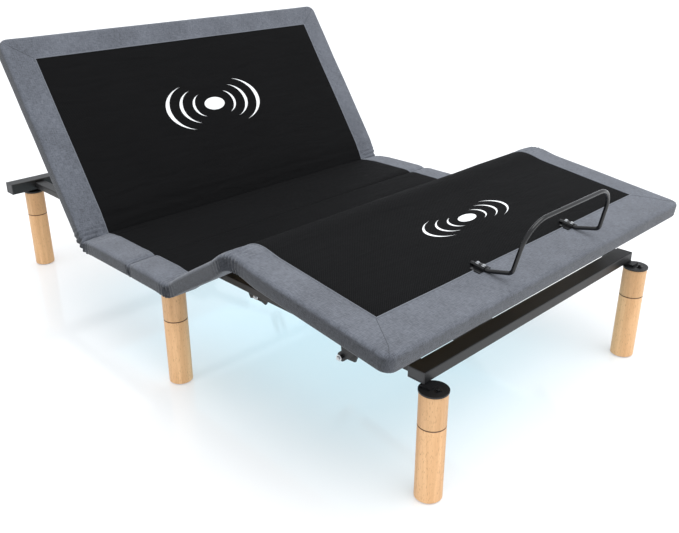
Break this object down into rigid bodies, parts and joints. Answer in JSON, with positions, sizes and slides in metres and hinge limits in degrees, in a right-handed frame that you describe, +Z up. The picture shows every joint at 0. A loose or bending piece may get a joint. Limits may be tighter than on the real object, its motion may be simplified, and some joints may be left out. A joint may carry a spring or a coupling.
{
  "type": "adjustable bed base",
  "caption": "Upholstered adjustable bed base with motor-raised back and legs, steel frame, mattress retainer bar and turned wooden legs.",
  "frame": {"origin": "on the floor, in the middle of the base's width and length", "axes": "+X to the right seen from the foot, +Y from the foot to the head, +Z up"},
  "size_m": [1.346, 2.054, 0.9257],
  "materials": {
    "fabric": "heathered blue-grey woven cover with a black non-slip mat",
    "plywood": "plain panel board",
    "beech": "satin clear lacquer",
    "black_steel": "black powder coat",
    "satin_black_steel": "satin black",
    "zinc_steel": "zinc plated",
    "black_plastic": "fine texture",
    "nylon": "natural"
  },
  "bodies": {
    "base": {"foot_crossbar": "black_steel", "middle_crossbar": "black_steel", "head_crossbar": "black_steel", "side_rail_left": "black_steel", "side_rail_right": "black_steel", "back_lift_bracket_left": "black_steel", "back_lift_bracket_right": "black_steel", "leg_lift_bracket_left": "black_steel", "leg_lift_bracket_right": "black_steel", "seat_rear_pad": "fabric", "seat_rear_board": "plywood", "seat_front_pad": "fabric", "seat_front_board": "plywood", "back_fold_pin": "zinc_steel", "thigh_fold_pin": "zinc_steel", "control_box": "black_plastic", "back_motor_body": "black_plastic", "leg_motor_body": "black_plastic", "leg_plate_foot_left": "black_steel", "leg_plate_foot_right": "black_steel", "leg_plate_middle_left": "black_steel", "leg_plate_middle_right": "black_steel", "leg_plate_head_left": "black_steel", "leg_plate_head_right": "black_steel", "leg_top_foot_left": "beech", "leg_top_foot_right": "beech", "leg_top_middle_left": "beech", "leg_top_middle_right": "beech", "leg_top_head_left": "beech", "leg_top_head_right": "beech", "leg_bottom_foot_left": "beech", "leg_bottom_foot_right": "beech", "leg_bottom_middle_left": "beech", "leg_bottom_middle_right": "beech", "leg_bottom_head_left": "beech", "leg_bottom_head_right": "beech"},
    "back": {"back_pad": "fabric", "back_board": "plywood", "massage_motor_back": "black_plastic"},
    "thigh": {"thigh_pad": "fabric", "thigh_board": "plywood", "knee_fold_pin": "zinc_steel"},
    "calf": {"calf_pad": "fabric", "calf_board": "plywood", "massage_motor_calf": "black_plastic", "retainer_bar": "satin_black_steel", "retainer_clamp_left": "black_steel", "retainer_clamp_right": "black_steel", "calf_hanger_left": "black_steel", "calf_hanger_right": "black_steel"},
    "back_lift": {"back_lift_frame": "black_steel"},
    "leg_lift": {"leg_lift_frame": "black_steel"},
    "back_roller_left": {"back_lift_roller_left": "nylon"},
    "back_roller_right": {"back_lift_roller_right": "nylon"},
    "leg_roller_left": {"leg_lift_roller_left": "nylon"},
    "leg_roller_right": {"leg_lift_roller_right": "nylon"},
    "back_rod": {"back_motor_rod": "zinc_steel"},
    "leg_rod": {"leg_motor_rod": "zinc_steel"},
    "calf_link_left": {"calf_link_left": "black_steel"},
    "calf_link_right": {"calf_link_right": "black_steel"}
  },
  "joints": [
    {"name": "back_tilt", "type": "hinge", "parent": "base", "child": "back", "pos_m": [0, 0.262, 0.3505], "axis": [1, 0, 0], "range_deg": [-55.5, 4.5]},
    {"name": "thigh_tilt", "type": "hinge", "parent": "base", "child": "thigh", "pos_m": [0, -0.198, 0.3505], "axis": [-1, 0, 0], "range_deg": [-31, 4]},
    {"name": "knee_fold", "type": "hinge", "parent": "thigh", "child": "calf", "pos_m": [0, -0.48772, 0.52458], "axis": [1, 0, 0], "range_deg": [-38.6, 5.07]},
    {"name": "back_lift_turn", "type": "hinge", "parent": "base", "child": "back_lift", "pos_m": [0, 0.262, 0.2985], "axis": [1, 0, 0], "range_deg": [-51.97, 4.31]},
    {"name": "leg_lift_turn", "type": "hinge", "parent": "base", "child": "leg_lift", "pos_m": [0, -0.33, 0.2985], "axis": [-1, 0, 0], "range_deg": [-55.53, 7.25]},
    {"name": "back_motor_stroke", "type": "slide", "parent": "base", "child": "back_rod", "axis": [0, -0.9946, -0.1037], "range_m": [-0.00694, 0.07993]},
    {"name": "leg_motor_stroke", "type": "slide", "parent": "base", "child": "leg_rod", "axis": [0, 0.9925, -0.122], "range_m": [-0.01139, 0.0849]},
    {"name": "calf_link_left_turn", "type": "hinge", "parent": "base", "child": "calf_link_left", "pos_m": [-0.505, -0.715, 0.283], "axis": [-1, 0, 0], "range_deg": [-33.04, 4.35]},
    {"name": "back_roller_left_spin", "type": "hinge", "parent": "back_lift", "child": "back_roller_left", "pos_m": [-0.383, 0.47941, 0.61016], "axis": [1, 0, 0], "continuous": true},
    {"name": "leg_roller_left_spin", "type": "hinge", "parent": "leg_lift", "child": "leg_roller_left", "pos_m": [-0.383, -0.39662, 0.43289], "axis": [1, 0, 0], "continuous": true},
    {"name": "calf_link_right_turn", "type": "hinge", "parent": "base", "child": "calf_link_right", "pos_m": [0.505, -0.715, 0.283], "axis": [-1, 0, 0], "range_deg": [-33.04, 4.35]},
    {"name": "back_roller_right_spin", "type": "hinge", "parent": "back_lift", "child": "back_roller_right", "pos_m": [0.383, 0.47941, 0.61016], "axis": [1, 0, 0], "continuous": true},
    {"name": "leg_roller_right_spin", "type": "hinge", "parent": "leg_lift", "child": "leg_roller_right", "pos_m": [0.383, -0.39662, 0.43289], "axis": [1, 0, 0], "continuous": true}
  ],
  "couplings": [
    {"joint": "knee_fold", "follows": "thigh_tilt", "ratio": 1.2419},
    {"joint": "back_lift_turn", "follows": "back_tilt", "ratio": 0.93463},
    {"joint": "leg_lift_turn", "follows": "thigh_tilt", "ratio": 1.788},
    {"joint": "back_motor_stroke", "follows": "back_tilt", "m_per_rad": -0.082},
    {"joint": "leg_motor_stroke", "follows": "thigh_tilt", "m_per_rad": -0.156},
    {"joint": "calf_link_left_turn", "follows": "thigh_tilt", "ratio": 1.0625},
    {"joint": "calf_link_right_turn", "follows": "thigh_tilt", "ratio": 1.0625}
  ]
}
